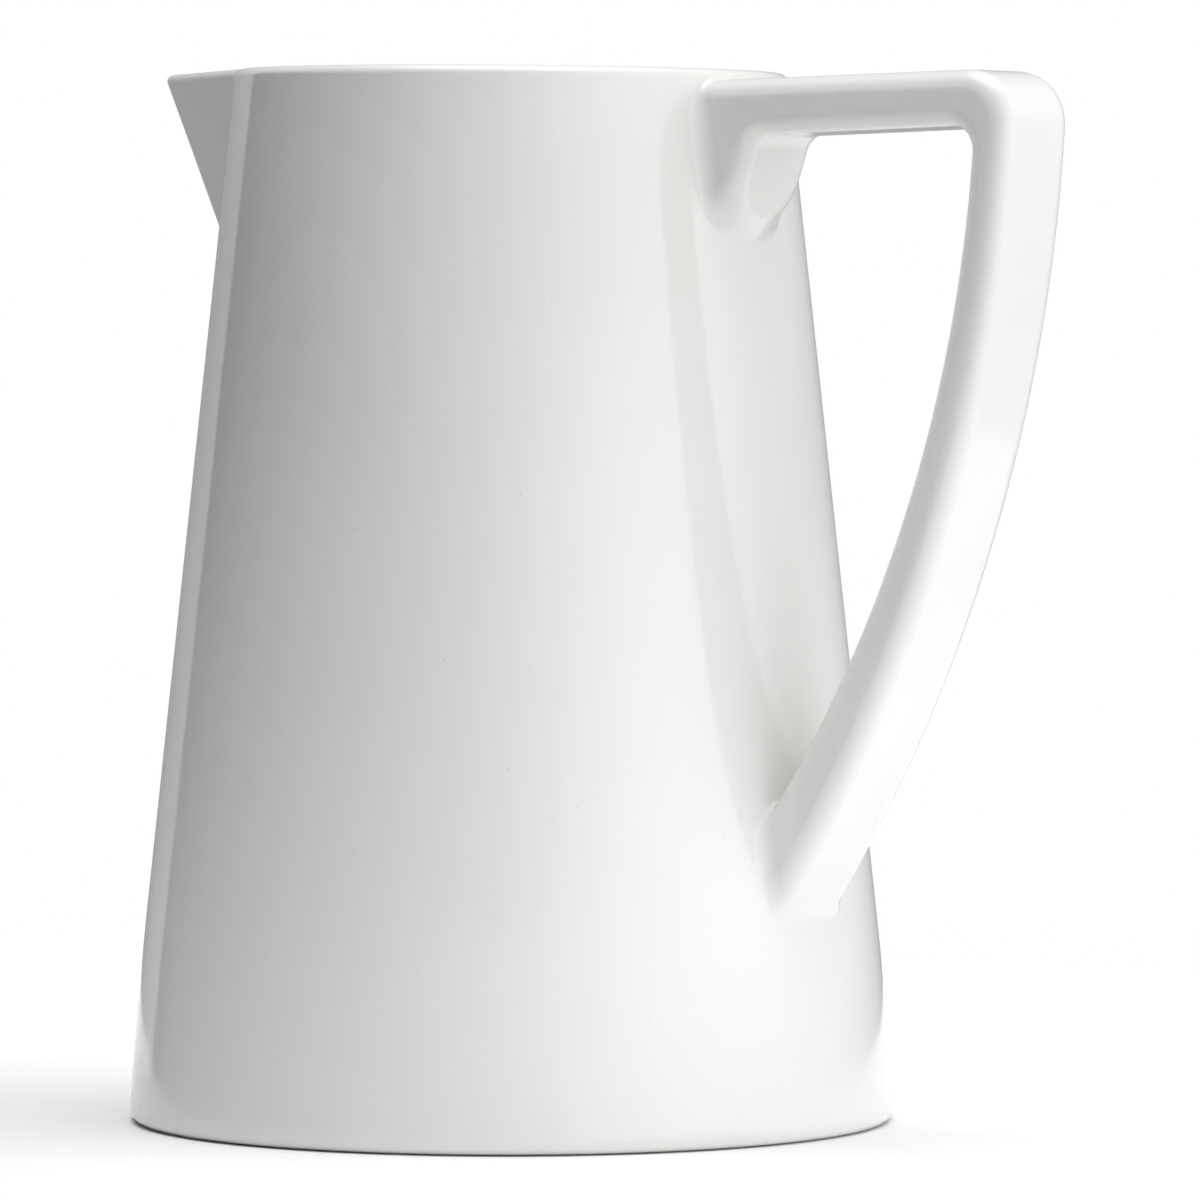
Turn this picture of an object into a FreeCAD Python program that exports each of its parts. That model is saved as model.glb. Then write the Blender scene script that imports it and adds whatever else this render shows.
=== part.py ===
import FreeCAD, Part
import math
import os
import Sketcher
from FreeCAD import Placement, Rotation, Vector

# A one-litre white china jug: a tapered wall with a luted-in V spout, a floor, an unglazed foot
# ring and a strap handle.  The origin is the centre of the foot ring on the table.  +Z is up,
# the handle points along +X and the spout along -X.  Millimetres and degrees.

DRIVING_DIMENSIONS = (
    ("rim_height", 160.0),  # rim above the table, on the axis
    ("rim_radius", 42.0),  # outer radius of the wall at rim height
    ("wall_taper", 0.1074),  # outer radius lost for each millimetre of height
    ("rim_tilt", 0.58),  # the rim rises towards the spout
    ("wall_thickness", 2.8),
    ("lip_round", 1.25),
    ("belly_height", 30.5),  # the straight taper ends here and the belly arc begins
    ("belly_radius", 58.4),  # widest outer radius, just above the foot
    ("belly_arc_radius", 715.0),
    ("skirt_round", 2.0),  # rounding under the belly
    ("glaze_gap", 0.3),  # the glazed skirt stops short of the table
    ("foot_radius", 56.4),
    ("foot_width", 4.0),
    ("foot_height", 2.0),
    ("foot_edge", 0.5),
    ("floor_radius", 46.5),
    ("floor_thickness", 4.0),
    ("cove_radius", 7.0),  # inside corner between the floor and the wall
    ("spout_reach", 68.4),  # sharp keel of the spout at rim height, from the axis
    ("keel_lean", 24.8),  # how far the keel leans out from the vertical
    ("wedge_half_angle", 39.7),  # between the keel's own plane and each side of the spout
    ("wedge_depth", 39.4),  # how far the sides run back from the keel
    ("keel_round", 1.2),
    ("notch_bottom", 112.0),  # foot of the V notch that the spout is luted into
    ("notch_half_width", 30.0),  # half the notch's width at rim height
    ("slip_thickness", 0.6),  # layer of joining slip between two pieces
    ("slip_fillet", 2.0),  # rounded bead of slip around each end of the handle
    ("strap_width", 18.0),
    ("strap_round", 3.2),  # rounding along the strap's four long edges
    ("root_reach", 36.0),  # the handle's blank starts inside the wall and is trimmed to it
    ("bar_top", 157.7),  # top of the handle's bar at its root
    ("bar_bottom", 149.2),
    ("corner_reach", 96.6),  # outer corner of the handle before it is rounded
    ("corner_height", 158.7),
    ("corner_round", 8.5),
    ("grip_back_radius", 229.0),  # long arc down the back of the grip
    ("grip_back_end", 48.6),
    ("grip_back_end_height", 25.0),
    ("grip_front_radius", 192.7),  # long arc on the finger side of the grip
    ("grip_front_end", 50.3),
    ("grip_front_end_height", 45.0),
    ("inner_corner_reach", 89.3),
    ("inner_corner_height", 150.4),
    ("inner_corner_round", 4.0),
    ("corbel_reach", 51.0),  # the bracket under the bar reaches this far out at its top
    ("corbel_lean", 19.4),  # its face slopes back to the wall by this much
    ("corbel_foot_height", 134.5),  # lowest point of its round foot
    ("corbel_corner_round", 2.0),
)

CLEARANCE = 3.0  # blanks and cutters run this far past the face that trims them
TOUCHING = 0.01  # points closer together than this are on each other

doc = FreeCAD.newDocument("ceramic_pitcher")
sheet = doc.addObject("Spreadsheet::Sheet", "Dimensions")


def fill_sheet():
    for row, (alias, value) in enumerate(DRIVING_DIMENSIONS, start=1):
        sheet.set(f"A{row}", alias)
        sheet.set(f"B{row}", str(value))
        sheet.setAlias(f"B{row}", alias)
    doc.recompute()


fill_sheet()


def size(expression):
    """The value, in millimetres, of an expression over the driving dimensions."""
    return float(sheet.evalExpression(expression))


def bind(thing, **properties):
    """Binds each property of a document object to an expression over the sheet."""
    for name, expression in properties.items():
        thing.setExpression(name, expression)


def radius_at(height):
    """Expression for the wall's outer radius on its straight taper."""
    return f"(Dimensions.rim_radius + Dimensions.wall_taper * (Dimensions.rim_height - ({height})))"


# ---------------------------------------------------------------- sketching helpers


def new_body(name):
    body = doc.addObject("PartDesign::Body", name)
    body.Label = name
    return body


def origin_plane(body, role):
    return next(f for f in body.Origin.OriginFeatures if f.Role == role)


def arc_between(first, last, radius, side):
    """Arc of the stated radius from first to last; side +1 puts its centre on the left."""
    middle = (first + last) * 0.5
    chord = last - first
    left = Vector(-chord.y, chord.x, 0).normalize()
    rise = math.sqrt(radius**2 - (chord.Length / 2) ** 2)
    centre = middle + left * rise * side
    start, end = (first, last) if side > 0 else (last, first)
    angles = [math.atan2(p.y - centre.y, p.x - centre.x) for p in (start, end)]
    return Part.ArcOfCircle(Part.Circle(centre, Vector(0, 0, 1), radius), *angles)


def hold_point(sketch, geometry, end, across, up):
    """Holds one end of a sketch curve at two expressions measured from the origin."""
    for kind, expression in (("DistanceX", across), ("DistanceY", up)):
        index = sketch.addConstraint(
            Sketcher.Constraint(kind, -1, 1, geometry, end, size(expression))
        )
        sketch.setExpression(f"Constraints[{index}]", expression)


def outline(body, name, role, corners, arcs=None):
    """Closed sketch through corners, each a pair of expressions.  arcs gives, for the side that
    leaves a corner, its radius expression and which side of it the centre lies on."""
    arcs = arcs or {}
    sketch = body.newObject("Sketcher::SketchObject", name)
    sketch.AttachmentSupport = [(origin_plane(body, role), "")]
    sketch.MapMode = "FlatFace"
    points = [Vector(size(across), size(up), 0) for across, up in corners]
    ends = []
    for index, point in enumerate(points):
        following = points[(index + 1) % len(points)]
        if index in arcs:
            radius, side = arcs[index]
            curve = sketch.addGeometry(arc_between(point, following, size(radius), side))
            held = sketch.addConstraint(Sketcher.Constraint("Radius", curve, size(radius)))
            sketch.setExpression(f"Constraints[{held}]", radius)
            ends.append((curve, 1, 2) if side > 0 else (curve, 2, 1))
        else:
            curve = sketch.addGeometry(Part.LineSegment(point, following))
            ends.append((curve, 1, 2))
    for index, (across, up) in enumerate(corners):
        curve, first, _ = ends[index]
        before, _, last = ends[index - 1]
        sketch.addConstraint(Sketcher.Constraint("Coincident", before, last, curve, first))
        hold_point(sketch, curve, first, across, up)
    return sketch


def revolve(body, sketch, name):
    turned = body.newObject("PartDesign::Revolution", name)
    turned.Profile = sketch
    turned.ReferenceAxis = (sketch, ["V_Axis"])
    turned.Angle = 360.0
    return turned


def points_along(edge):
    """The edge's first, middle and last points."""
    first, last = edge.ParameterRange
    return [edge.valueAt(first + (last - first) * part) for part in (0, 0.5, 1)]


def edges_where(shape, test):
    """Numbers of the shape's edges that pass the test, counted from one."""
    return [number for number, edge in enumerate(shape.Edges, start=1) if test(edge)]


def round_edges(body, feature, name, radius, test):
    """Fillet on the feature's edges that pass the test, its radius bound to the sheet."""
    doc.recompute()
    rounded = body.newObject("PartDesign::Fillet", name)
    rounded.Base = (feature, [f"Edge{number}" for number in edges_where(feature.Shape, test)])
    bind(rounded, Radius=radius)
    return rounded


def round_meeting(name, base, radius, test):
    """Fillet on the edges of a boolean result that pass the test."""
    doc.recompute()
    rounded = doc.addObject("Part::Fillet", name)
    rounded.Base = base
    rounded.Edges = [(n, size(radius), size(radius)) for n in edges_where(base.Shape, test)]
    return rounded


def boolean(kind, name, base, tool):
    result = doc.addObject(f"Part::{kind}", name)
    result.Label = name
    result.Base = base
    result.Tool = tool
    return result


# ---------------------------------------------------------------- foot, floor and wall


def lies_on_table(edge):
    return all(abs(point.z) < TOUCHING for point in points_along(edge))


def make_foot_ring():
    """Unglazed ring that the jug stands on."""
    body = new_body("foot_ring")
    inner = "Dimensions.foot_radius - Dimensions.foot_width"
    sketch = outline(
        body,
        "foot_section",
        "XZ_Plane",
        (
            (inner, "0"),
            ("Dimensions.foot_radius", "0"),
            ("Dimensions.foot_radius", "Dimensions.foot_height"),
            (inner, "Dimensions.foot_height"),
        ),
    )
    ring = revolve(body, sketch, "foot_turned")
    round_edges(body, ring, "foot_edges", "Dimensions.foot_edge", lies_on_table)
    return body


def make_floor():
    """Disc that closes the bottom of the wall."""
    body = new_body("base_floor")
    top = "Dimensions.foot_height + Dimensions.floor_thickness"
    sketch = outline(
        body,
        "floor_section",
        "XZ_Plane",
        (
            ("0", "Dimensions.foot_height"),
            ("Dimensions.floor_radius", "Dimensions.foot_height"),
            ("Dimensions.floor_radius", top),
            ("0", top),
        ),
    )
    revolve(body, sketch, "floor_turned")
    return body


def make_wall_blank():
    """The whole wall as one turned ring, taller than the rim and with no opening yet."""
    body = new_body("wall_blank")
    skirt = (
        "Dimensions.belly_radius - Dimensions.skirt_round + sqrt(Dimensions.skirt_round ^ 2"
        " - (Dimensions.skirt_round - Dimensions.glaze_gap) ^ 2)"
    )
    floor_top = "Dimensions.foot_height + Dimensions.floor_thickness"
    blank_top = f"Dimensions.rim_height + {CLEARANCE}"
    thickness = "Dimensions.wall_thickness"
    sketch = outline(
        body,
        "wall_section",
        "XZ_Plane",
        (
            ("Dimensions.foot_radius", "Dimensions.foot_height"),
            ("Dimensions.foot_radius", "Dimensions.glaze_gap"),
            (skirt, "Dimensions.glaze_gap"),
            ("Dimensions.belly_radius", "Dimensions.skirt_round"),
            (radius_at("Dimensions.belly_height"), "Dimensions.belly_height"),
            (radius_at(blank_top), blank_top),
            (f"{radius_at(blank_top)} - {thickness}", blank_top),
            (
                f"{radius_at('Dimensions.belly_height')} - {thickness}",
                "Dimensions.belly_height",
            ),
            (
                "Dimensions.floor_radius + Dimensions.cove_radius",
                f"{floor_top} + Dimensions.cove_radius",
            ),
            ("Dimensions.floor_radius", floor_top),
            ("Dimensions.floor_radius", "Dimensions.foot_height"),
        ),
        {
            2: ("Dimensions.skirt_round", 1),
            3: ("Dimensions.belly_arc_radius", 1),
            8: ("Dimensions.cove_radius", -1),
        },
    )
    revolve(body, sketch, "wall_turned")
    return body


def make_cone(name, bottom, top, growth):
    """Solid cone along the wall's taper between two heights, its radius grown by growth."""
    cone = doc.addObject("Part::Cone", name)
    cone.Label = name
    bind(
        cone,
        Radius1=f"{radius_at(bottom)} + {growth}",
        Radius2=f"{radius_at(top)} + {growth}",
        Height=f"({top}) - ({bottom})",
    )
    cone.setExpression("Placement.Base.z", bottom)
    return cone


# ---------------------------------------------------------------- spout


def lies_on_axis(edge):
    return all(math.hypot(point.x, point.y) < TOUCHING for point in points_along(edge))


def make_spout_wedge(name, set_back):
    """V-shaped prism along the leaning keel; set_back moves it towards the jug's axis."""
    body = new_body(name)
    depth = "Dimensions.wedge_depth"
    half_width = f"{depth} * tan(Dimensions.wedge_half_angle * 1 deg)"
    sketch = outline(
        body,
        f"{name}_section",
        "XY_Plane",
        (("0", "0"), (depth, f"-{half_width}"), (depth, half_width)),
    )
    prism = body.newObject("PartDesign::Pad", f"{name}_prism")
    prism.Profile = sketch
    prism.SideType = "Two sides"
    bind(
        prism,
        Length=f"5 * {CLEARANCE}",
        Length2="(Dimensions.rim_height - Dimensions.notch_bottom) * 1.15",
    )
    round_edges(body, prism, f"{name}_keel", "Dimensions.keel_round", lies_on_axis)
    body.Placement = Placement(Vector(), Rotation(Vector(0, -1, 0), 1))
    body.setExpression("Placement.Rotation.Angle", "Dimensions.keel_lean * 1 deg")
    body.setExpression("Placement.Base.x", f"{set_back} - Dimensions.spout_reach")
    body.setExpression("Placement.Base.z", "Dimensions.rim_height")
    return body


def make_notch(name, lowering):
    """V-shaped cutter through the wall, seen from the spout's side."""
    body = new_body(name)
    bottom = f"Dimensions.notch_bottom - {lowering}"
    slope = "Dimensions.notch_half_width / (Dimensions.rim_height - Dimensions.notch_bottom)"
    top = f"Dimensions.rim_height + 3 * {CLEARANCE}"
    half_width = f"({top} - ({bottom})) * {slope}"
    sketch = outline(
        body,
        f"{name}_front",
        "YZ_Plane",
        (("0", bottom), (half_width, top), (f"-{half_width}", top)),
    )
    pad = body.newObject("PartDesign::Pad", f"{name}_pad")
    pad.Profile = sketch
    pad.Reversed = True
    bind(pad, Length=f"Dimensions.spout_reach + 3 * {CLEARANCE}")
    return body


def make_rim_cutter():
    """Everything above the slightly tilted rim."""
    cutter = doc.addObject("Part::Cylinder", "above_rim")
    bind(cutter, Radius="2 * Dimensions.spout_reach", Height=f"10 * {CLEARANCE}")
    cutter.Placement = Placement(Vector(), Rotation(Vector(0, 1, 0), 1))
    cutter.setExpression("Placement.Rotation.Angle", "Dimensions.rim_tilt * 1 deg")
    cutter.setExpression("Placement.Base.z", "Dimensions.rim_height")
    return cutter


def round_lip(vessel):
    """Rounds the inner and outer edges of the rim, spout included."""
    tilt = math.radians(size("Dimensions.rim_tilt"))
    upwards = Vector(math.sin(tilt), 0, math.cos(tilt))
    centre = Vector(0, 0, size("Dimensions.rim_height"))

    def on_rim(edge):
        return all(abs((point - centre).dot(upwards)) < TOUCHING for point in points_along(edge))

    return round_meeting("rounded_lip", vessel, "Dimensions.lip_round", on_rim)


def make_vessel():
    """The wall and the spout in one, ready to be parted along the notch."""
    outside = boolean("Fuse", "wall_and_wedge", make_wall_blank(), make_spout_wedge("keel_out", "0"))
    set_back = (
        "Dimensions.wall_thickness / (sin(Dimensions.wedge_half_angle * 1 deg)"
        " * cos(Dimensions.keel_lean * 1 deg))"
    )
    channel = make_spout_wedge("keel_in", set_back)
    hollow = make_cone(
        "hollow",
        "Dimensions.rim_height / 2",
        f"Dimensions.rim_height + 10 * {CLEARANCE}",
        "-Dimensions.wall_thickness",
    )
    cutters = doc.addObject("Part::MultiFuse", "cutters")
    cutters.Shapes = [channel, hollow, make_rim_cutter()]
    return boolean("Cut", "vessel", outside, cutters)


def part_vessel():
    """Body wall, spout and the slip between them."""
    lipped = round_lip(make_vessel())
    notch = make_notch("notch", "0")
    slope = "atan(Dimensions.notch_half_width / (Dimensions.rim_height - Dimensions.notch_bottom))"
    wide_notch = make_notch("wide_notch", f"Dimensions.slip_thickness / sin({slope})")
    wall = boolean("Cut", "body_wall", lipped, wide_notch)
    spout = boolean("Common", "spout", lipped, notch)
    between = boolean("Cut", "slip_band", wide_notch, notch)
    slip = boolean("Common", "spout_slip_joint", lipped, between)
    return [wall, spout, slip]


# ---------------------------------------------------------------- handle


def round_corbel_foot(body):
    """Cuts the bracket's lower end to a half circle, seen from the end of the handle."""
    side = "Dimensions.strap_width / 2"
    foot = "Dimensions.corbel_foot_height"
    centre = f"{foot} + {side}"
    beyond = f"{side} + {CLEARANCE}"
    below = f"{foot} - 2 * {CLEARANCE}"
    sketch = outline(
        body,
        "corbel_foot",
        "YZ_Plane",
        (
            (f"-({beyond})", below),
            (beyond, below),
            (beyond, centre),
            (side, centre),
            ("0", foot),
            (f"-{side}", centre),
            (f"-({beyond})", centre),
        ),
        {3: (side, -1), 4: (side, -1)},
    )
    pocket = body.newObject("PartDesign::Pocket", "corbel_foot_cut")
    pocket.Profile = sketch
    pocket.Reversed = True
    bind(pocket, Length=f"Dimensions.corbel_reach + {CLEARANCE}")
    return pocket


def runs_across_at(reach):
    """Test for the strap's edge that runs across it where two of its faces meet at reach."""

    def runs_across(edge):
        return all(abs(point.x - size(reach)) < TOUCHING for point in points_along(edge))

    return runs_across


def borders_strap(edge):
    """True for the strap's long edges and the edge round the bracket's foot, but not for the
    ones buried in the wall or the seams where the foot's curve runs into the flat sides."""
    side = size("Dimensions.strap_width") / 2
    foot = size("Dimensions.corbel_foot_height")
    centre = foot + side
    bracket_end = size("Dimensions.corbel_reach") + CLEARANCE
    points = points_along(edge)
    for point in points:
        on_bracket = point.x < bracket_end and point.z > foot - TOUCHING
        below_centre = min(point.z - centre, 0) if on_bracket else 0
        if abs(math.hypot(point.y, below_centre) - side) > TOUCHING:
            return False
    is_seam = all(abs(point.z - centre) < TOUCHING for point in points)
    middle = points[1]
    is_buried = math.hypot(middle.x, middle.y) < size(radius_at(middle.z))
    return not is_seam and not is_buried


def make_slab(name, bottom, top):
    """Box over the handle's side of the jug between two heights."""
    slab = doc.addObject("Part::Box", name)
    bind(
        slab,
        Length="Dimensions.corner_reach",
        Width="2 * Dimensions.strap_width",
        Height=f"({top}) - ({bottom})",
    )
    slab.setExpression("Placement.Base.y", "-Dimensions.strap_width")
    slab.setExpression("Placement.Base.z", bottom)
    return slab


def make_handle_blank():
    """Bar, corner, grip and bracket in one strap, running on into the wall."""
    body = new_body("handle_blank")
    bracket_bottom = f"Dimensions.corbel_foot_height - {CLEARANCE}"
    bar_rise = (
        "(Dimensions.inner_corner_height - Dimensions.bar_bottom)"
        " / (Dimensions.inner_corner_reach - Dimensions.root_reach)"
    )
    underside = (
        f"Dimensions.bar_bottom + {bar_rise} * (Dimensions.corbel_reach - Dimensions.root_reach)"
    )
    face_bottom = (
        f"Dimensions.corbel_reach - ({underside} - ({bracket_bottom}))"
        " * tan(Dimensions.corbel_lean * 1 deg)"
    )
    sketch = outline(
        body,
        "handle_side",
        "XZ_Plane",
        (
            ("Dimensions.root_reach", bracket_bottom),
            (face_bottom, bracket_bottom),
            ("Dimensions.corbel_reach", underside),
            ("Dimensions.inner_corner_reach", "Dimensions.inner_corner_height"),
            ("Dimensions.grip_front_end", "Dimensions.grip_front_end_height"),
            ("Dimensions.grip_back_end", "Dimensions.grip_back_end_height"),
            ("Dimensions.corner_reach", "Dimensions.corner_height"),
            ("Dimensions.root_reach", "Dimensions.bar_top"),
        ),
        {
            3: ("Dimensions.grip_front_radius", -1),
            5: ("Dimensions.grip_back_radius", 1),
        },
    )
    strap = body.newObject("PartDesign::Pad", "strap")
    strap.Profile = sketch
    strap.Midplane = True
    bind(strap, Length="Dimensions.strap_width")
    corner = round_edges(
        body,
        round_corbel_foot(body),
        "outer_corner",
        "Dimensions.corner_round",
        runs_across_at("Dimensions.corner_reach"),
    )
    inner = round_edges(
        body,
        corner,
        "inner_corner",
        "Dimensions.inner_corner_round",
        runs_across_at("Dimensions.inner_corner_reach"),
    )
    bracket = round_edges(
        body,
        inner,
        "corbel_corner",
        "Dimensions.corbel_corner_round",
        runs_across_at("Dimensions.corbel_reach"),
    )
    round_edges(body, bracket, "strap_edges", "Dimensions.strap_round", borders_strap)
    return body


def make_slip_joint(name, joined, trimmed, bottom, top):
    """Slip between handle and wall with a rounded bead around it, from bottom up to top."""

    def meets_wall(edge):
        side = size("Dimensions.strap_width") / 2
        return all(
            size(bottom) < point.z < size(top)
            and size("Dimensions.root_reach") < point.x
            and abs(point.y) < side + TOUCHING
            and abs(math.hypot(point.x, point.y) - size(radius_at(point.z))) < TOUCHING
            for point in points_along(edge)
        )

    beaded = round_meeting(f"{name}_bead", joined, "Dimensions.slip_fillet", meets_wall)
    slip = boolean("Cut", f"{name}_slip", beaded, trimmed)
    return boolean("Common", name, slip, make_slab(f"{name}_span", bottom, top))


def make_handle():
    """The handle trimmed to a layer of slip off the wall, and the two joints that hold it."""
    blank = make_handle_blank()
    bottom = "Dimensions.grip_back_end_height / 2"
    top = f"Dimensions.rim_height + 10 * {CLEARANCE}"
    wall = make_cone("wall_face", bottom, top, "0")
    slip_face = make_cone("slip_face", bottom, top, "Dimensions.slip_thickness")
    handle = boolean("Cut", "handle", blank, slip_face)
    joined = boolean("Fuse", "wall_and_blank", wall, blank)
    trimmed = boolean("Fuse", "wall_and_handle", wall, handle)
    middle = "(Dimensions.corbel_foot_height + Dimensions.grip_front_end_height) / 2"
    rim_drop = "Dimensions.rim_radius * tan(Dimensions.rim_tilt * 1 deg)"
    lip_start = f"Dimensions.rim_height - {rim_drop} - Dimensions.lip_round"
    upper = make_slip_joint("upper_slip_joint", joined, trimmed, middle, lip_start)
    lower = make_slip_joint("lower_slip_joint", joined, trimmed, bottom, middle)
    return [handle, upper, lower]


# ---------------------------------------------------------------- the whole jug


def find_faults(pieces):
    """Every reason why the document or one of its pieces can't be handed in."""
    faults = [f"{thing.Label} did not rebuild" for thing in doc.Objects if is_broken(thing)]
    for piece in pieces:
        if piece.Shape.isNull() or not piece.Shape.isValid():
            faults.append(f"{piece.Label} has no valid shape")
        elif len(piece.Shape.Solids) != 1:
            faults.append(f"{piece.Label} is {len(piece.Shape.Solids)} solids")
    return faults


def is_broken(thing):
    return "Invalid" in thing.State or "Error" in thing.State


def export_pieces(pieces):
    os.makedirs("parts", exist_ok=True)
    for piece in pieces:
        piece.Shape.exportStep(f"parts/{piece.Label}.step")


pieces = [make_foot_ring(), make_floor(), *part_vessel(), *make_handle()]
doc.recompute()
faults = find_faults(pieces)
if faults:
    raise SystemExit("; ".join(faults))
export_pieces(pieces)
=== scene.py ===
import math

import bmesh
import bpy
import numpy as np
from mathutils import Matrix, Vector


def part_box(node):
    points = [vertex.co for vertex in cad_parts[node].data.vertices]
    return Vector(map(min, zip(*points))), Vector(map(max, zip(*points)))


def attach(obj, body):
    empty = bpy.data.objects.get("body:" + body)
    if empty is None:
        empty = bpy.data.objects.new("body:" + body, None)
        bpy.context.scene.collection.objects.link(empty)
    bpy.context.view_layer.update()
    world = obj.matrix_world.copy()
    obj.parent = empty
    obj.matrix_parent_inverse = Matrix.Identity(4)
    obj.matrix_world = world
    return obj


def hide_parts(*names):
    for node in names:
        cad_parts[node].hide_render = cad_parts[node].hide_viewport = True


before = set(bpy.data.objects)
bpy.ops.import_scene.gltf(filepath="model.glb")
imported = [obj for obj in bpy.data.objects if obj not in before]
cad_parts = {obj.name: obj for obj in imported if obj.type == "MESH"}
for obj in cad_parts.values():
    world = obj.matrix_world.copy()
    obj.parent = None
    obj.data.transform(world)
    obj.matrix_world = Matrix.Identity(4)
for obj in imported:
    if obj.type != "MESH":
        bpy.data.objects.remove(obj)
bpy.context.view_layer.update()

# A white glazed jug.  Lengths are millimetres until a mesh is made, and angles are radians.
# The origin is the centre of the foot on the table, +X runs to the handle and -X to the spout.
MM = 0.001


def box_mm(node):
    """Lowest and highest corner of a CAD node, in millimetres."""
    return [np.array(corner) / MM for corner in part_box(node)]


wall_low, wall_high = box_mm("body_wall")
foot_high = box_mm("foot_ring")[1]
floor_low, floor_high = box_mm("base_floor")
handle_low, handle_high = box_mm("handle")

# The wall, the foot and the floor.
RIM_HEIGHT = 160.0
RIM_RADIUS = 42.0
RIM_TILT = 0.0101  # rise of the rim for each millimetre towards the spout
WALL_TAPER = 0.1074
WALL_THICKNESS = 2.8
LIP_ROUND = 1.35
BELLY_HEIGHT = 30.5
BELLY_RADIUS = wall_high[0]
BELLY_ARC_RADIUS = 715.0
SKIRT_ROUND = 2.0
SKIRT_BOTTOM = wall_low[2]
FOOT_RADIUS = foot_high[0]
FOOT_WIDTH = 4.0
FOOT_EDGE = 0.6
FLOOR_RADIUS = floor_high[0]
FLOOR_BOTTOM = floor_low[2]
FLOOR_TOP = floor_high[2]
COVE_RADIUS = 7.0

# The spout, and the notch in the wall that it is let into.
SPOUT_REACH = 68.4
KEEL_LEAN = math.radians(24.8)
SIDE_ANGLE = math.radians(39.7)
SPOUT_DEPTH = 39.4
KEEL_ROUND = 1.2
CREASE_WIDTH = 3.0  # softness of the crease between spout and wall at its foot
RIM_CREASE_WIDTH = 0.7  # and at the rim, where the two are nearly level with each other
SPOUT_LOW = 100.0  # the wedge behind the spout ends here, deep inside the wall
NOTCH_BOTTOM = 112.0
NOTCH_SLOPE = 30.0 / 48.0  # half the notch's width for each millimetre above its foot
SLIP_THICKNESS = 0.6

# The handle: a strap with a bar, a corner and a grip, and a bracket under the bar.
STRAP_WIDTH = handle_high[1] - handle_low[1]
STRAP_ROUND = 3.2
BAR_TOP = (157.7, 158.7)  # heights of the bar's top at the root and at the outer corner
BAR_BOTTOM = (149.2, 150.4)  # heights of its underside at the root and at the inner corner
ROOT_REACH = 36.0
OUTER_CORNER = 96.6
INNER_CORNER = 89.3
CORNER_ROUND = 8.5
INNER_ROUND = 4.0
GRIP_BACK = (-132.4, 165.4, 229.1)  # reach, height and radius of the arc down the back
GRIP_FRONT = (-103.1, 161.6, 192.7)
CORBEL_REACH = 51.0  # the bracket under the bar reaches this far out at its top
CORBEL_LEAN = math.radians(19.4)
CORBEL_FOOT = 134.5
CORBEL_BLEND = 2.0
CORBEL_OVERLAP = 4.0  # how far the bracket reaches up into the bar
ROOT_DEPTH = 1.9  # how far the handle's roots are let into the wall
ROOT_ROUND = 1.6
TAIL_BEAD = 1.0  # rounding between handle and wall at the lower root's tail
BEAD_CHANGES = (  # from one height to another, the rounding that it changes to
    (32, 44, 2.6),
    (44, 52, 1.2),
    (70, 110, 2.6),
    (151, 158, 0.7),
)
BEAD_REACH = 1.2  # the pieces of slip end this far out from the wall
DIP_START = 0.02  # clear of the handle its surface lies this deep in the wall
DIP_GROWTH = 0.8  # and then dips faster and faster

# How finely the meshes are made.
VESSEL_COLUMNS = 480
KEEL_CROWDING = 0.6  # share of the columns' angles that crowds towards the spout's keel
OUTER_ROWS = 130
INNER_ROWS = 100
LIP_ROWS = 13
COVE_ROWS = 9
SKIRT_ROWS = 7
TILT_BOTTOM = 100.0  # the rows above this height tilt more and more with the rim
PLAIN_COLUMNS = 192
FLOOR_RINGS = 7
EDGE_ROWS = 5
HANDLE_STEP = 0.56
SIDE_ROOM = 7.0  # room for the beads between the strap and the sides of the grid it is made on
TAIL_ROOM = 14.0
OUTER_ROOM = 2.0
RIM_ROOM = 3.0
CUTTER_MARGIN = 10.0
SHARP_ANGLE = 30.0
GLAZE_TOLERANCE = 0.12  # a face this close to the field's surface is part of the glaze
GLAZE_ALIGNMENT = 0.8  # and faces the same way, by the cosine of the angle between
GLAZE_WAVE = 0.10  # depth of the glaze's slow unevenness
GLAZE_PEEL = 0.004  # depth of its fine orange peel

# The stage.
VIEW_AZIMUTH = 37.0
CAMERA_DISTANCE = 1242.5
CAMERA_HEIGHT = 121.7
AIM_RIGHT = 13.5
AIM_HEIGHT = 79.4
LENS = 244.1
SENSOR_WIDTH = 36.0
TABLE_SIZE = 600.0  # it ends soon behind the jug, so that the jug's edges don't mirror it
STUDIO_LIGHTS = (  # azimuth from the camera's side, elevation, sharpness, strength
    (0, 10, 6, 0.3),
    (45, 10, 6, 1.25),
    (50, -15, 4, 0.75),
    (90, 10, 6, 1.35),
    (180, 10, 6, 0.3),
    (235, 8, 5, 0.75),
    (270, 10, 6, 1.5),
    (0, 90, 12, 6.7),
)
FLAG_DISTANCE = 170.0
FLAG_REACH = (-250.0, 125.0)  # its near and far ends, from the jug's axis
FLAG_HEIGHT = 239.0
FLAG_LIFT = 1.0


# ---------------------------------------------------------------- distance fields


def round_union(a, b, radius):
    """Union of two distance fields, with a concave fillet."""
    blend = np.hypot(np.minimum(a - radius, 0), np.minimum(b - radius, 0))
    return np.maximum(np.minimum(a, b), radius) - blend


def round_overlap(a, b, radius):
    """Overlap of two distance fields, with a convex rounding."""
    return -round_union(-a, -b, radius)


def smooth_step(low, high, value):
    t = np.clip((value - low) / (high - low), 0, 1)
    return t * t * (3 - 2 * t)


def arc_centre(start, end, radius):
    """Centre of the arc from start to end that bulges away from the axis."""
    start, end = np.array(start), np.array(end)
    chord = end - start
    length = math.hypot(*chord)
    inward = np.array((-chord[1], chord[0])) / length
    return (start + end) / 2 + inward * math.sqrt(radius**2 - length**2 / 4)


def taper_radius(z):
    return RIM_RADIUS + WALL_TAPER * (RIM_HEIGHT - z)


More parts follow.
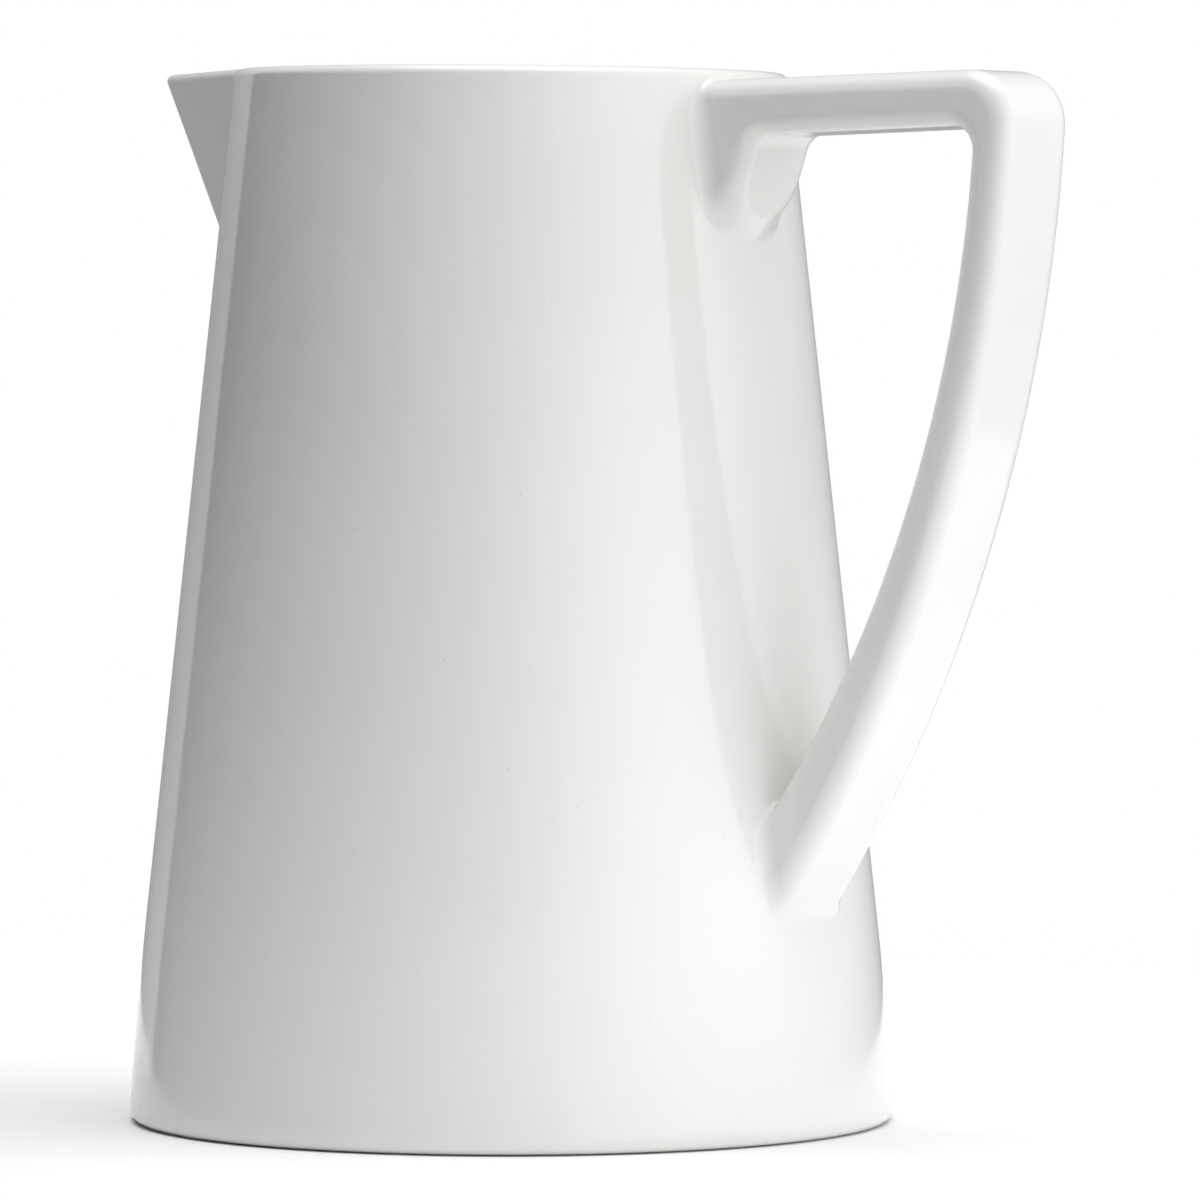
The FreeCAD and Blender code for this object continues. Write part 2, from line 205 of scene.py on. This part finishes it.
BELLY_CENTRE = arc_centre(
    (BELLY_RADIUS, SKIRT_ROUND), (taper_radius(BELLY_HEIGHT), BELLY_HEIGHT), BELLY_ARC_RADIUS
)


def soft_union(a, b, width):
    """Union of two distance fields, with a shallow crease where they are within a width."""
    near = np.maximum(width - np.abs(a - b), 0)
    return np.minimum(a, b) - near**2 / width / 4


def wall_radius(z):
    """Outer radius of the wall without its spout."""
    low = np.clip(z, SKIRT_ROUND, BELLY_HEIGHT) - BELLY_CENTRE[1]
    belly = BELLY_CENTRE[0] + np.sqrt(BELLY_ARC_RADIUS**2 - low**2)
    return np.where(z > BELLY_HEIGHT, taper_radius(z), belly)


def wall_field(x, y, z, inset=0.0):
    """Distance from the wall's face, negative inside."""
    return (np.hypot(x, y) - wall_radius(z) + inset) * math.cos(math.atan(WALL_TAPER))


def spout_field(x, y, z, inset=0.0):
    """Distance from the V-shaped wedge along the leaning keel, negative inside."""
    keel = SPOUT_REACH - (RIM_HEIGHT - z) * math.tan(KEEL_LEAN)
    depth = (x + keel) * math.cos(KEEL_LEAN)
    across = y * math.cos(SIDE_ANGLE)
    back = depth * math.sin(SIDE_ANGLE)
    sides = round_overlap(across - back + inset, -across - back + inset, KEEL_ROUND)
    return np.maximum(sides, np.maximum(depth - SPOUT_DEPTH, SPOUT_LOW - z))


def vessel_field(x, y, z, inset=0.0):
    """Wall and spout in one; an inset gives the inner face."""
    wall = wall_field(x, y, z, inset)
    spout = spout_field(x, y, z, inset)
    narrowing = smooth_step(NOTCH_BOTTOM, RIM_HEIGHT, z)
    crease = CREASE_WIDTH + (RIM_CREASE_WIDTH - CREASE_WIDTH) * narrowing
    return soft_union(wall, spout, crease)


def rim_height_at(x):
    return RIM_HEIGHT - RIM_TILT * x


def shell_field(x, y, z):
    """The hollow vessel with its rounded skirt, lip and inside corner."""
    outside = round_overlap(vessel_field(x, y, z), -z, SKIRT_ROUND)
    lipped = round_overlap(outside, z - rim_height_at(x), LIP_ROUND)
    cavity = round_overlap(vessel_field(x, y, z, WALL_THICKNESS), FLOOR_TOP - z, COVE_RADIUS)
    return round_overlap(lipped, -cavity, LIP_ROUND)


def strap_field(x, y, z):
    """Bar, corner, grip and the bracket under the bar, which ends in a half-round foot."""
    top_rise = (BAR_TOP[1] - BAR_TOP[0]) / (OUTER_CORNER - ROOT_REACH)
    bottom_rise = (BAR_BOTTOM[1] - BAR_BOTTOM[0]) / (INNER_CORNER - ROOT_REACH)
    above = z - BAR_TOP[0] - top_rise * (x - ROOT_REACH)
    behind = np.hypot(x - GRIP_BACK[0], z - GRIP_BACK[1]) - GRIP_BACK[2]
    under_bar = z - BAR_BOTTOM[0] - bottom_rise * (x - ROOT_REACH)
    before_grip = np.hypot(x - GRIP_FRONT[0], z - GRIP_FRONT[1]) - GRIP_FRONT[2]
    outline = round_overlap(above, behind, CORNER_ROUND)
    finger_gap = round_overlap(under_bar, before_grip, INNER_ROUND)
    past_face = (x - CORBEL_REACH) * math.cos(CORBEL_LEAN) - under_bar * math.sin(CORBEL_LEAN)
    far_off = 15.0
    near_bracket = (x < CORBEL_REACH + far_off) & (z > CORBEL_FOOT - far_off)
    bracket = np.where(near_bracket, np.maximum(past_face, under_bar - CORBEL_OVERLAP), far_off)
    profile = round_union(np.maximum(outline, -finger_gap), bracket, CORBEL_BLEND)
    below_centre = np.minimum(z - CORBEL_FOOT - STRAP_WIDTH / 2, 0) * near_bracket
    side = np.hypot(y, below_centre) - STRAP_WIDTH / 2
    return round_overlap(profile, side, STRAP_ROUND)


def bead_radius(z):
    """Rounding between the handle and the wall at each height."""
    radius = TAIL_BEAD
    for low, high, next_radius in BEAD_CHANGES:
        radius = radius + (next_radius - radius) * smooth_step(low, high, z)
    return radius


def handle_field(x, y, z):
    """Handle flowing into the wall; clear of the handle it dips below the wall's face."""
    handle = strap_field(x, y, z)
    lipped = round_overlap(wall_field(x, y, z), z - rim_height_at(x), LIP_ROUND)
    bead = bead_radius(z)
    dip = DIP_START + DIP_GROWTH * np.maximum(handle - bead, 0) ** 2
    return round_union(handle, lipped + dip, bead)


def cut_handle_field(x, y, z):
    """The handle without what would lie deeper in the wall than its roots do."""
    too_deep = -wall_field(x, y, z) - ROOT_DEPTH
    return round_overlap(handle_field(x, y, z), too_deep, ROOT_ROUND)


# ---------------------------------------------------------------- mesh making


def iso_surface(field, low, high, step):
    """Vertices and outward quads where the field crosses zero, one vertex to a grid cell."""
    axes = [np.arange(a, b + step, step) for a, b in zip(low, high)]
    values = field(*np.meshgrid(*axes, indexing="ij"))
    inside = values < 0
    cells = tuple(n - 1 for n in values.shape)
    total = np.zeros(cells + (3,))
    count = np.zeros(cells)
    quads = []
    for axis in range(3):
        first = [slice(None)] * 3
        second = [slice(None)] * 3
        first[axis] = slice(None, -1)
        second[axis] = slice(1, None)
        start, end = values[tuple(first)], values[tuple(second)]
        crossed = np.argwhere(inside[tuple(first)] != inside[tuple(second)])
        a = start[tuple(crossed.T)]
        b = end[tuple(crossed.T)]
        points = crossed.astype(float)
        points[:, axis] += a / (a - b)
        u, v = [k for k in range(3) if k != axis]
        ring = []
        for du, dv in ((0, 0), (1, 0), (1, 1), (0, 1)):
            cell = crossed.copy()
            cell[:, u] -= du
            cell[:, v] -= dv
            np.add.at(total, tuple(cell.T), points)
            np.add.at(count, tuple(cell.T), 1)
            ring.append(np.ravel_multi_index(tuple(cell.T), cells))
        quad = np.stack(ring, axis=1)
        flip = (a < 0) == (axis == 1)
        quad[flip] = quad[flip][:, ::-1]
        quads.append(quad)
    used = np.flatnonzero(count)
    verts = total.reshape(-1, 3)[used] / count.reshape(-1)[used, None]
    verts = verts * step + np.array([axis[0] for axis in axes])
    return settle(field, verts), np.searchsorted(used, np.concatenate(quads))


def gradient(field, points, reach=0.02):
    """Unit directions in which the field grows."""
    x, y, z = points.T
    steps = np.stack(
        (
            field(x + reach, y, z) - field(x - reach, y, z),
            field(x, y + reach, z) - field(x, y - reach, z),
            field(x, y, z + reach) - field(x, y, z - reach),
        ),
        axis=1,
    )
    return steps / np.linalg.norm(steps, axis=1, keepdims=True)


def settle(field, points):
    """Moves points a short way on to the field's zero surface."""
    for _ in range(4):
        points = points - gradient(field, points) * field(*points.T)[:, None]
    return points


def new_object(name, mesh):
    thing = bpy.data.objects.new(name, mesh)
    bpy.context.collection.objects.link(thing)
    return thing


def mesh_object(name, verts, faces):
    """Object from points in millimetres and faces that all wind one way round."""
    bm = bmesh.new()
    points = [bm.verts.new(point) for point in (np.asarray(verts) * MM).tolist()]
    for face in faces:
        bm.faces.new([points[index] for index in face])
    bmesh.ops.recalc_face_normals(bm, faces=bm.faces[:])
    mesh = bpy.data.meshes.new(name)
    bm.to_mesh(mesh)
    bm.free()
    return new_object(name, mesh)


def lathe_grid(rows, columns):
    """Quads of a closed grid: rows wrap round the section and columns round the axis."""
    row, column = np.meshgrid(np.arange(rows), np.arange(columns), indexing="ij")
    down, across = (row + 1) % rows, (column + 1) % columns
    corners = ((row, column), (row, across), (down, across), (down, column))
    return np.stack([r * columns + c for r, c in corners], axis=-1).reshape(-1, 4)


def prism(name, outline, axis, low, high):
    """Closed cutter: an outline in the plane across an axis, drawn out from low to high."""
    points = [list(np.insert(corner, axis, end)) for end in (low, high) for corner in outline]
    count = len(outline)
    sides = [(k, (k + 1) % count, count + (k + 1) % count, count + k) for k in range(count)]
    return mesh_object(name, points, [range(count), range(count, 2 * count), *sides])


def carve(name, whole, cutters, operation):
    """Copy of an object cut by others; INTERSECT keeps what is inside, DIFFERENCE the rest."""
    piece = new_object(name, whole.data.copy())
    for cutter in cutters:
        modifier = piece.modifiers.new("cut", "BOOLEAN")
        modifier.operation = operation
        modifier.solver = "EXACT"
        modifier.object = cutter
    evaluated = piece.evaluated_get(bpy.context.evaluated_depsgraph_get())
    cut = bpy.data.meshes.new_from_object(evaluated)
    piece.modifiers.clear()
    piece.data = cut
    cut.name = name
    return piece


def shade(piece, field):
    """Smooth shading worked out from the field, so that the glaze shows no seam between pieces.
    Faces off the field's surface, where pieces meet, stay flat."""
    mesh = piece.data
    corners = np.array([v.co for v in mesh.vertices]) / MM
    growth = gradient(field, corners)
    centres = np.array([polygon.center for polygon in mesh.polygons]) / MM
    facing = np.array([polygon.normal for polygon in mesh.polygons])
    aligned = np.sum(gradient(field, centres) * facing, axis=1) > GLAZE_ALIGNMENT
    glazed = aligned & (np.abs(field(*centres.T)) < GLAZE_TOLERANCE)
    mesh.polygons.foreach_set("use_smooth", glazed)
    normals = [
        growth[index] if on_glaze else polygon.normal
        for polygon, on_glaze in zip(mesh.polygons, glazed)
        for index in polygon.vertices
    ]
    mesh.normals_split_custom_set(normals)


# ---------------------------------------------------------------- vessel


def column_angles():
    """Angles round the axis from the spout, closest together at its keel."""
    turn = np.linspace(-1, 1, VESSEL_COLUMNS, endpoint=False)
    return math.pi * ((1 - KEEL_CROWDING) * turn + KEEL_CROWDING * turn**3)


def plain_reach(z, angle, inset):
    """Radius of the wall or the sharp-edged spout, whichever is further from the axis."""
    plan_slope = math.tan(SIDE_ANGLE) * math.cos(KEEL_LEAN)
    set_back = inset / (math.sin(SIDE_ANGLE) * math.cos(KEEL_LEAN))
    keel = SPOUT_REACH - set_back - (RIM_HEIGHT - z) * math.tan(KEEL_LEAN)
    side = np.abs(np.sin(angle)) + plan_slope * np.cos(angle)
    before_back = np.abs(angle) < math.pi / 3
    spout = np.where(before_back, keel * plan_slope / np.where(before_back, side, 1), 0)
    return np.maximum(wall_radius(z) - inset, spout)


def face_rows(heights, angle, inset):
    """Rows of points on the outer or the inner face; the upper rows tilt with the rim."""
    z = np.asarray(heights)[:, None] + 0 * angle
    reach = plain_reach(z, angle, inset)
    tilt = RIM_TILT * smooth_step(TILT_BOTTOM, RIM_HEIGHT - LIP_ROUND, z)
    z = z + tilt * reach * np.cos(angle)
    return np.stack((-reach * np.cos(angle), reach * np.sin(angle), z), axis=-1)


def ring_rows(section, angle):
    """Rows of points turned round the axis from (radius, height) pairs."""
    return np.stack(
        [np.stack((-r * np.cos(angle), r * np.sin(angle), z + 0 * angle), -1) for r, z in section]
    )


def arc_points(centre, radius, start, end, count):
    """(radius, height) pairs along an arc, its angles in degrees."""
    turns = np.radians(np.linspace(start, end, count))
    return [(centre[0] + radius * np.cos(t), centre[1] + radius * np.sin(t)) for t in turns]


def make_vessel():
    """Wall and spout as one closed grid: up the outside, over the lip and down the inside."""
    angle = column_angles()
    lip_base = RIM_HEIGHT - LIP_ROUND
    cove_top = FLOOR_TOP + COVE_RADIUS
    outer = face_rows(np.linspace(SKIRT_ROUND, lip_base, OUTER_ROWS), angle, 0)
    inner = face_rows(np.linspace(lip_base, cove_top, INNER_ROWS), angle, WALL_THICKNESS)
    lip = []
    for turn in np.linspace(0, math.pi, LIP_ROWS)[1:-1]:
        across = (1 - math.cos(turn)) / 2
        ring = outer[-1] * (1 - across) + inner[0] * across
        lip.append(ring + np.array((0, 0, LIP_ROUND * math.sin(turn))))
    cove = arc_points((FLOOR_RADIUS, cove_top), COVE_RADIUS, 0, -90, COVE_ROWS)[1:-1]
    skirt_centre = (BELLY_RADIUS - SKIRT_ROUND, SKIRT_ROUND)
    lowest = -math.degrees(math.asin(1 - SKIRT_BOTTOM / SKIRT_ROUND))
    skirt = arc_points(skirt_centre, SKIRT_ROUND, lowest, 0, SKIRT_ROWS)[:-1]
    turned_skirt, turned_cove = ring_rows(skirt, angle), ring_rows(cove, angle)
    glazed = np.concatenate((turned_skirt, outer, lip, inner, turned_cove))
    glazed = settle(shell_field, glazed.reshape(-1, 3)).reshape(glazed.shape)
    bottom = (
        (FLOOR_RADIUS, FLOOR_TOP),
        (FLOOR_RADIUS, FLOOR_BOTTOM),
        (FOOT_RADIUS, FLOOR_BOTTOM),
        (FOOT_RADIUS, SKIRT_BOTTOM),
    )
    grid = np.concatenate((glazed, ring_rows(bottom, angle)))
    return mesh_object("vessel", grid.reshape(-1, 3), lathe_grid(*grid.shape[:2]))


def notch_outline(lowering):
    """The V that the spout is let into, in YZ, from its foot to above the rim."""
    foot = NOTCH_BOTTOM - lowering
    top = RIM_HEIGHT + CUTTER_MARGIN
    return [(0, foot), ((top - foot) * NOTCH_SLOPE, top), (-(top - foot) * NOTCH_SLOPE, top)]


def make_vessel_pieces():
    """Body wall, spout and the slip between them."""
    vessel = make_vessel()
    lowering = SLIP_THICKNESS / math.sin(math.atan(NOTCH_SLOPE))
    span = (-SPOUT_REACH - CUTTER_MARGIN, -CUTTER_MARGIN / 2)
    notch = prism("notch", notch_outline(0), 0, *span)
    wide_notch = prism("wide_notch", notch_outline(lowering), 0, *span)
    spout_and_slip = carve("spout_and_slip", vessel, [wide_notch], "INTERSECT")
    wall = carve("body_wall_glazed", vessel, [wide_notch], "DIFFERENCE")
    spout = carve("spout_glazed", vessel, [notch], "INTERSECT")
    slip = carve("spout_slip", spout_and_slip, [notch], "DIFFERENCE")
    for scrap in (vessel, notch, wide_notch, spout_and_slip):
        bpy.data.objects.remove(scrap)
    for piece in (wall, spout, slip):
        shade(piece, shell_field)
    return wall, spout, slip


# ---------------------------------------------------------------- handle


def wall_slab(name, low, high):
    """Cutter along the wall on the handle's side, as thick as the pieces of slip reach out."""
    behind = ROOT_REACH - CUTTER_MARGIN / 2
    outline = [
        (taper_radius(low) + BEAD_REACH, low),
        (taper_radius(high) + BEAD_REACH, high),
        (behind, high),
        (behind, low),
    ]
    return prism(name, outline, 1, -STRAP_WIDTH, STRAP_WIDTH)


def make_handle_pieces():
    """Handle and the beads of slip at its two roots."""
    side = STRAP_WIDTH / 2 + SIDE_ROOM
    low = (ROOT_REACH, -side, handle_low[2] - TAIL_ROOM)
    high = (OUTER_CORNER + OUTER_ROOM, side, RIM_HEIGHT + RIM_ROOM)
    verts, faces = iso_surface(cut_handle_field, low, high, HANDLE_STEP)
    whole = mesh_object("handle_whole", verts, faces)
    middle = (CORBEL_FOOT + handle_low[2]) / 2
    upper_slab = wall_slab("upper_slab", middle, RIM_HEIGHT + CUTTER_MARGIN / 2)
    lower_slab = wall_slab("lower_slab", 0, middle)
    handle = carve("handle_glazed", whole, [upper_slab, lower_slab], "DIFFERENCE")
    upper = carve("upper_slip", whole, [upper_slab], "INTERSECT")
    lower = carve("lower_slip", whole, [lower_slab], "INTERSECT")
    for scrap in (whole, upper_slab, lower_slab):
        bpy.data.objects.remove(scrap)
    for piece in (handle, upper, lower):
        shade(piece, handle_field)
    return handle, upper, lower


# ---------------------------------------------------------------- floor and foot


def turned_ring(name, section):
    """Closed ring turned round the axis from a section of (radius, height) pairs."""
    angle = np.linspace(0, 2 * math.pi, PLAIN_COLUMNS, endpoint=False)
    grid = ring_rows(section, angle)
    return mesh_object(name, grid.reshape(-1, 3), lathe_grid(*grid.shape[:2]))


def shade_by_angle(piece, limit):
    """Smooth shading with sharp edges where faces meet at more than the limit, in degrees."""
    mesh = piece.data
    mesh.polygons.foreach_set("use_smooth", [True] * len(mesh.polygons))
    mesh.set_sharp_from_angle(angle=math.radians(limit))


def make_floor():
    """Disc that closes the wall, glazed on both faces."""
    angle = np.linspace(0, 2 * math.pi, PLAIN_COLUMNS, endpoint=False)
    radii = FLOOR_RADIUS * np.linspace(0, 1, FLOOR_RINGS)[1:]
    section = [(r, FLOOR_TOP) for r in radii] + [(r, FLOOR_BOTTOM) for r in radii[::-1]]
    grid = ring_rows(section, angle)
    rows, columns = grid.shape[:2]
    middles = [(0, 0, FLOOR_TOP), (0, 0, FLOOR_BOTTOM)]
    quads = lathe_grid(rows, columns)[: (rows - 1) * columns]
    following = [(k + 1) % columns for k in range(columns)]
    last = (rows - 1) * columns
    top_fan = [(rows * columns, n, k) for k, n in enumerate(following)]
    bottom_fan = [(rows * columns + 1, last + k, last + n) for k, n in enumerate(following)]
    verts = np.concatenate((grid.reshape(-1, 3), middles))
    disc = mesh_object("base_floor_glazed", verts, [*quads.tolist(), *top_fan, *bottom_fan])
    shade_by_angle(disc, SHARP_ANGLE)
    return disc


def make_foot():
    """Ground, unglazed ring with its two lower edges rounded."""
    inner = FOOT_RADIUS - FOOT_WIDTH
    edge = FOOT_EDGE
    section = [
        (FOOT_RADIUS, FLOOR_BOTTOM),
        *arc_points((FOOT_RADIUS - edge, edge), edge, 0, -90, EDGE_ROWS),
        *arc_points((inner + edge, edge), edge, -90, -180, EDGE_ROWS),
        (inner, FLOOR_BOTTOM),
    ]
    foot = turned_ring("foot_ring_ground", section)
    shade_by_angle(foot, SHARP_ANGLE)
    return foot


# ---------------------------------------------------------------- materials


class Nodes:
    """Short way of adding linked nodes to a material or a world."""

    def __init__(self, owner):
        owner.use_nodes = True
        self.tree = owner.node_tree

    def add(self, kind, inputs=(), **settings):
        node = self.tree.nodes.new(kind)
        for name, value in settings.items():
            setattr(node, name, value)
        for key, value in dict(inputs).items():
            if isinstance(value, bpy.types.NodeSocket):
                self.tree.links.new(value, node.inputs[key])
            else:
                node.inputs[key].default_value = value
        return node

    def noise(self, place, size_mm, detail=2.0, seed=0.0):
        """Noise whose features are about size_mm across."""
        inputs = {"Vector": place, "W": seed, "Scale": 1 / (size_mm * MM), "Detail": detail}
        node = self.add("ShaderNodeTexNoise", inputs, noise_dimensions="4D")
        return node.outputs["Fac"]

    def spread(self, value, low, high, to_low, to_high):
        """A value between low and high mapped on to another range, and clamped."""
        inputs = {0: value, 1: low, 2: high, 3: to_low, 4: to_high}
        return self.add("ShaderNodeMapRange", inputs).outputs[0]

    def mix(self, share, first, second):
        node = self.add("ShaderNodeMix", {0: share}, data_type="RGBA")
        for socket, value in ((node.inputs[6], first), (node.inputs[7], second)):
            if isinstance(value, bpy.types.NodeSocket):
                self.tree.links.new(value, socket)
            else:
                socket.default_value = (*value, 1)
        return node.outputs[2]

    def math(self, operation, *values):
        inputs = dict(enumerate(values))
        return self.add("ShaderNodeMath", inputs, operation=operation).outputs[0]

    def bump(self, height, depth_mm, below=None):
        inputs = {"Height": height, "Distance": depth_mm * MM, "Strength": 1.0}
        if below:
            inputs["Normal"] = below
        return self.add("ShaderNodeBump", inputs).outputs["Normal"]


def new_material(name):
    material = bpy.data.materials.new(name)
    nodes = Nodes(material)
    shader = nodes.tree.nodes["Principled BSDF"]
    place = nodes.add("ShaderNodeTexCoord").outputs["Object"]
    return material, nodes, shader, place


def make_glaze():
    """Glossy white glaze over white china: soft unevenness of colour, thickness and gloss."""
    material, nodes, shader, place = new_material("white_glaze")
    cloud = nodes.spread(nodes.noise(place, 45, seed=1.0), 0.35, 0.65, 0, 1)
    body = nodes.mix(cloud, (0.80, 0.795, 0.78), (0.83, 0.825, 0.815))
    specks = nodes.spread(nodes.noise(place, 0.9, 1.0, seed=2.0), 0.74, 0.80, 0, 0.35)
    colour = nodes.mix(specks, body, (0.62, 0.59, 0.54))
    gloss = nodes.spread(nodes.noise(place, 18, 3.0, seed=3.0), 0.3, 0.7, 0.07, 0.12)
    waves = nodes.bump(nodes.noise(place, 24, 1.0, seed=4.0), GLAZE_WAVE)
    peel = nodes.bump(nodes.noise(place, 1.6, 1.0, seed=5.0), GLAZE_PEEL, waves)
    nodes.tree.links.new(colour, shader.inputs["Base Color"])
    nodes.tree.links.new(gloss, shader.inputs["Roughness"])
    nodes.tree.links.new(peel, shader.inputs["Normal"])
    shader.inputs["IOR"].default_value = 1.52
    return material


def make_bare_china():
    """Unglazed foot, ground flat: matt, finely grained and a little darker where it wears."""
    material, nodes, shader, place = new_material("bare_china")
    stain = nodes.spread(nodes.noise(place, 7, 3.0, seed=1.0), 0.35, 0.7, 0, 1)
    body = nodes.mix(stain, (0.74, 0.71, 0.66), (0.66, 0.62, 0.56))
    grain = nodes.noise(place, 0.35, 4.0, seed=2.0)
    colour = nodes.mix(nodes.spread(grain, 0.55, 0.75, 0, 0.5), body, (0.55, 0.50, 0.44))
    nodes.tree.links.new(colour, shader.inputs["Base Color"])
    nodes.tree.links.new(
        nodes.spread(nodes.noise(place, 2, 2.0, seed=3.0), 0.3, 0.7, 0.65, 0.9),
        shader.inputs["Roughness"],
    )
    nodes.tree.links.new(nodes.bump(grain, 0.05), shader.inputs["Normal"])
    return material


def make_table_white():
    material, nodes, shader, place = new_material("table_white")
    sheen = nodes.spread(nodes.noise(place, 60, 2.0), 0.3, 0.7, 0.55, 0.65)
    nodes.tree.links.new(sheen, shader.inputs["Roughness"])
    shader.inputs["Base Color"].default_value = (0.92, 0.92, 0.92, 1)
    shader.inputs["Specular IOR Level"].default_value = 0.1
    return material


# ---------------------------------------------------------------- stage, light and camera


def make_table():
    half = TABLE_SIZE / 2
    corners = [(-half, -half, 0), (half, -half, 0), (half, half, 0), (-half, half, 0)]
    table = mesh_object("table", corners, [(0, 1, 2, 3)])
    table.data.materials.append(make_table_white())


def place_around(azimuth, elevation, distance):
    """Point at an angle round the jug, the azimuth counted from -Y towards +X, in degrees."""
    turn, lift = math.radians(azimuth), math.radians(elevation)
    level = math.cos(lift)
    out = Vector((math.sin(turn) * level, -math.cos(turn) * level, math.sin(lift)))
    return out * distance * MM


def aim(thing, target):
    thing.rotation_euler = (target - thing.location).to_track_quat("-Z", "Y").to_euler()


def make_lights():
    """Studio tent: broad soft lights at angles from the camera's side.  It shows as plain white."""
    world = bpy.data.worlds.new("studio")
    bpy.context.scene.world = world
    nodes = Nodes(world)
    towards = nodes.add("ShaderNodeTexCoord").outputs["Generated"]
    glow = nodes.add("ShaderNodeLightPath").outputs["Is Camera Ray"]
    total = 0.0
    for azimuth, elevation, sharpness, strength in STUDIO_LIGHTS:
        middle = place_around(VIEW_AZIMUTH + azimuth, elevation, 1 / MM)
        facing = nodes.add(
            "ShaderNodeVectorMath", {0: towards, 1: middle}, operation="DOT_PRODUCT"
        ).outputs["Value"]
        lit = nodes.math("POWER", nodes.math("MAXIMUM", facing, 0.0), sharpness)
        total = nodes.math("MULTIPLY_ADD", lit, strength, total)
    background = nodes.tree.nodes["Background"]
    nodes.tree.links.new(nodes.math("MAXIMUM", total, glow), background.inputs["Strength"])
    background.inputs["Color"].default_value = (1, 1, 1, 1)


def make_flag():
    """Dark upright card to the left of the jug, out of the picture, that shades its left side."""
    turn = math.radians(VIEW_AZIMUTH)
    across = np.array((math.cos(turn), math.sin(turn), 0))
    away = np.array((-math.sin(turn), math.cos(turn), 0))
    foot = across * -FLAG_DISTANCE + np.array((0, 0, FLAG_LIFT))
    head = foot + np.array((0, 0, FLAG_HEIGHT))
    near, far = FLAG_REACH
    corners = [foot + away * near, foot + away * far, head + away * far, head + away * near]
    flag = mesh_object("flag", corners, [(0, 1, 2, 3)])
    material, nodes, shader, place = new_material("dark_card")
    fibres = nodes.spread(nodes.noise(place, 4, 3.0), 0.3, 0.7, 0, 1)
    colour = nodes.mix(fibres, (0.045, 0.045, 0.045), (0.055, 0.055, 0.055))
    nodes.tree.links.new(colour, shader.inputs["Base Color"])
    shader.inputs["Roughness"].default_value = 1.0
    flag.data.materials.append(material)
    flag.visible_camera = False


def make_camera():
    camera = bpy.data.cameras.new("camera")
    camera.lens = LENS
    camera.sensor_width = SENSOR_WIDTH
    camera.clip_end = 100
    body = bpy.data.objects.new("camera", camera)
    bpy.context.collection.objects.link(body)
    turn = math.radians(VIEW_AZIMUTH)
    to_right = Vector((math.cos(turn), math.sin(turn), 0))
    body.location = place_around(VIEW_AZIMUTH, 0, CAMERA_DISTANCE)
    body.location.z = CAMERA_HEIGHT * MM
    aim(body, (to_right * AIM_RIGHT + Vector((0, 0, AIM_HEIGHT))) * MM)
    bpy.context.scene.camera = body


# ---------------------------------------------------------------- the jug


def finish_piece(piece, material, slot, *nodes):
    piece.data.materials.clear()
    piece.data.materials.append(material)
    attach(piece, "root")
    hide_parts(*nodes)


def make_jug():
    glaze = make_glaze()
    wall, spout, spout_slip = make_vessel_pieces()
    handle, upper_slip, lower_slip = make_handle_pieces()
    finish_piece(wall, glaze, "body_glaze", "body_wall")
    finish_piece(spout, glaze, "spout_glaze", "spout")
    finish_piece(spout_slip, glaze, "slip", "spout_slip_joint")
    finish_piece(handle, glaze, "handle_glaze", "handle")
    finish_piece(upper_slip, glaze, "slip", "upper_slip_joint")
    finish_piece(lower_slip, glaze, "slip", "lower_slip_joint")
    finish_piece(make_floor(), glaze, "floor_glaze", "base_floor")
    finish_piece(make_foot(), make_bare_china(), "bare_foot", "foot_ring")


make_jug()
make_table()
make_flag()
make_lights()
make_camera()
bpy.context.scene.view_settings.view_transform = "Standard"
